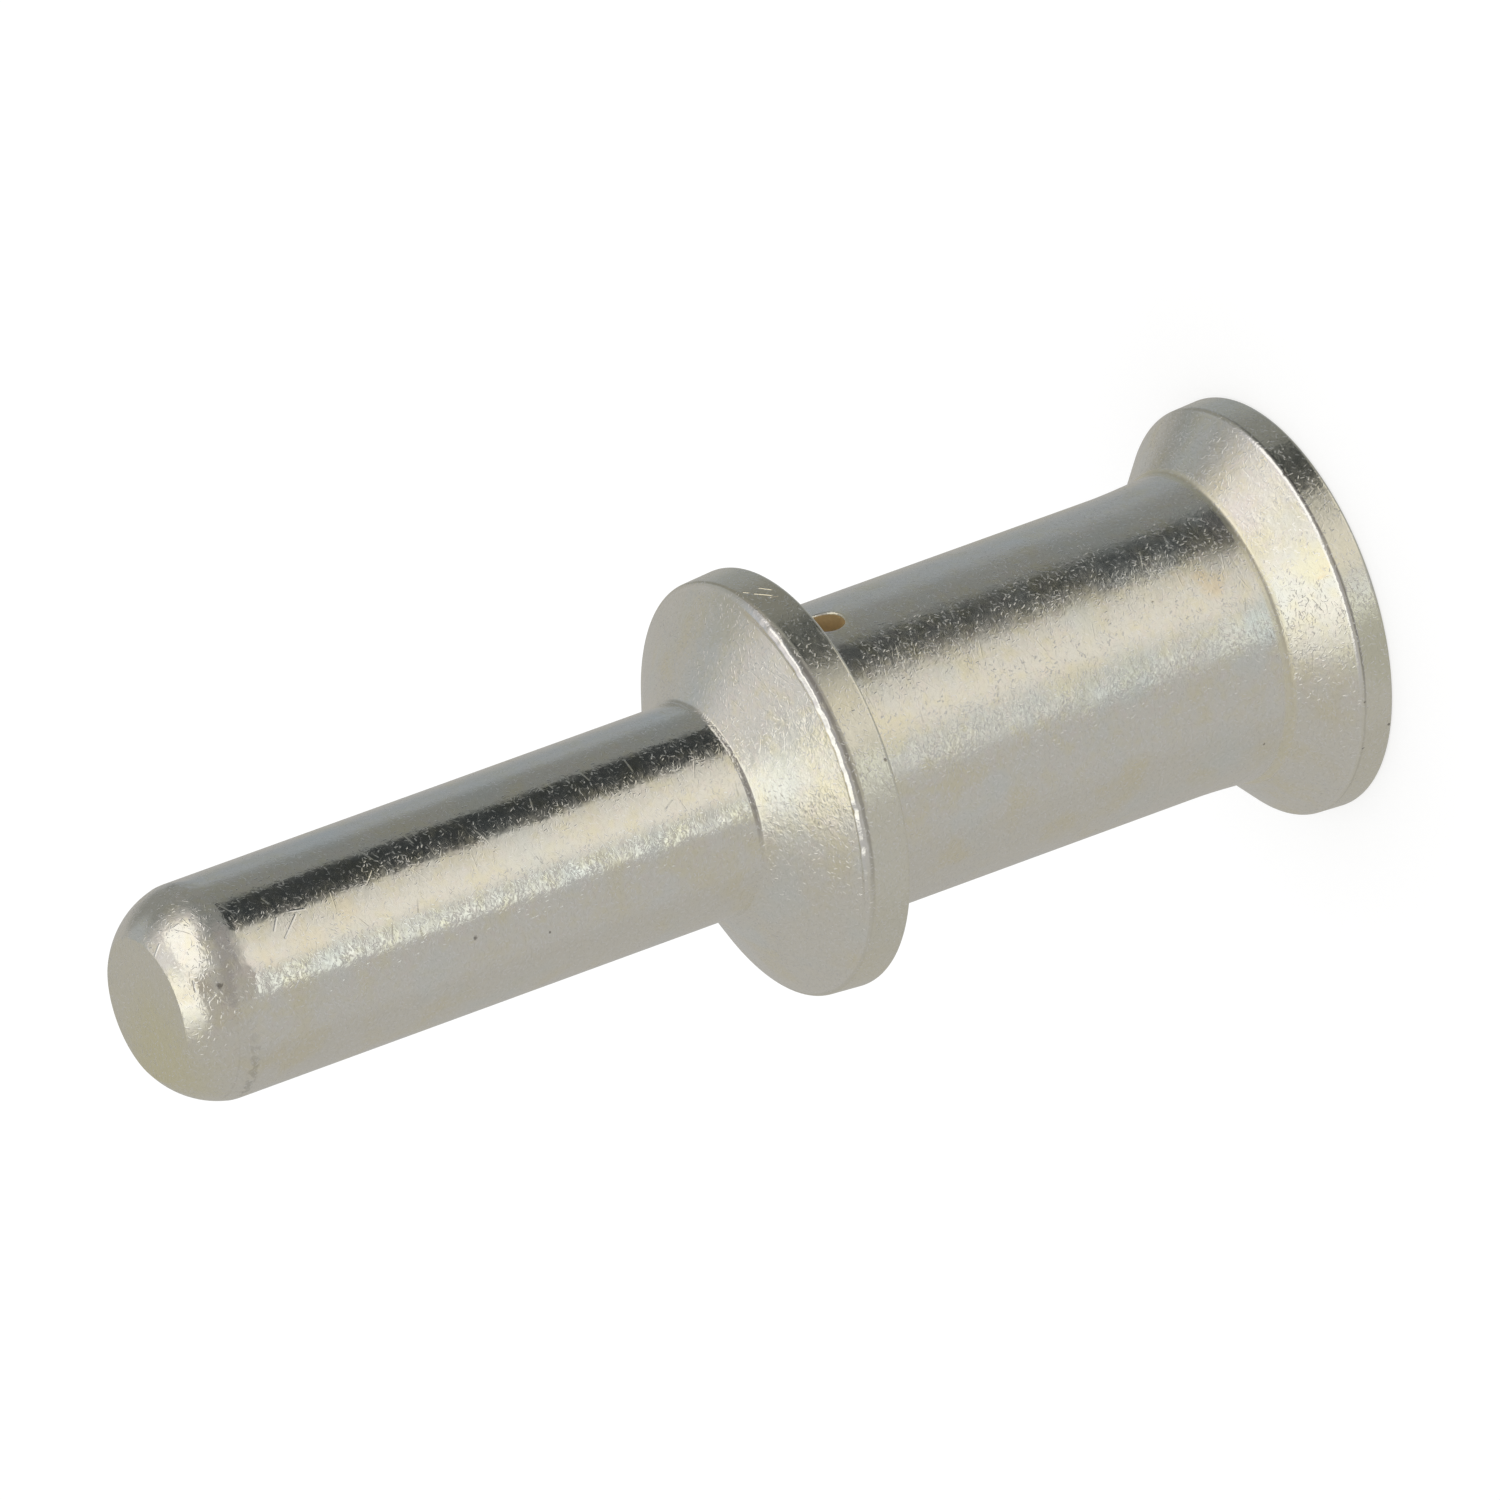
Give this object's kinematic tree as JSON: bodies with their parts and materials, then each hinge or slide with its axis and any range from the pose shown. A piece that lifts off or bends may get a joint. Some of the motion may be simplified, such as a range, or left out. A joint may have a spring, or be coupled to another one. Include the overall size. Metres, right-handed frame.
{
  "type": "crimp contact pin",
  "caption": "Turned and plated crimp contact: a round-nosed pin, a locating collar, and a hollow crimp barrel with a flanged mouth and a sight hole in its side.",
  "frame": {"origin": "centre of the flange's rear face, at the mouth of the crimp barrel, on the turning axis", "axes": "+Z along the turning axis, from the flange to the nose of the pin; the sight hole faces -Y"},
  "size_m": [0.0118, 0.0118, 0.0357],
  "materials": {
    "silver_plating": "satin silver plating over brass, slightly yellowed, with fine tumbling scratches"
  },
  "bodies": {
    "root": {"contact_pin": "silver_plating"}
  },
  "joints": []
}
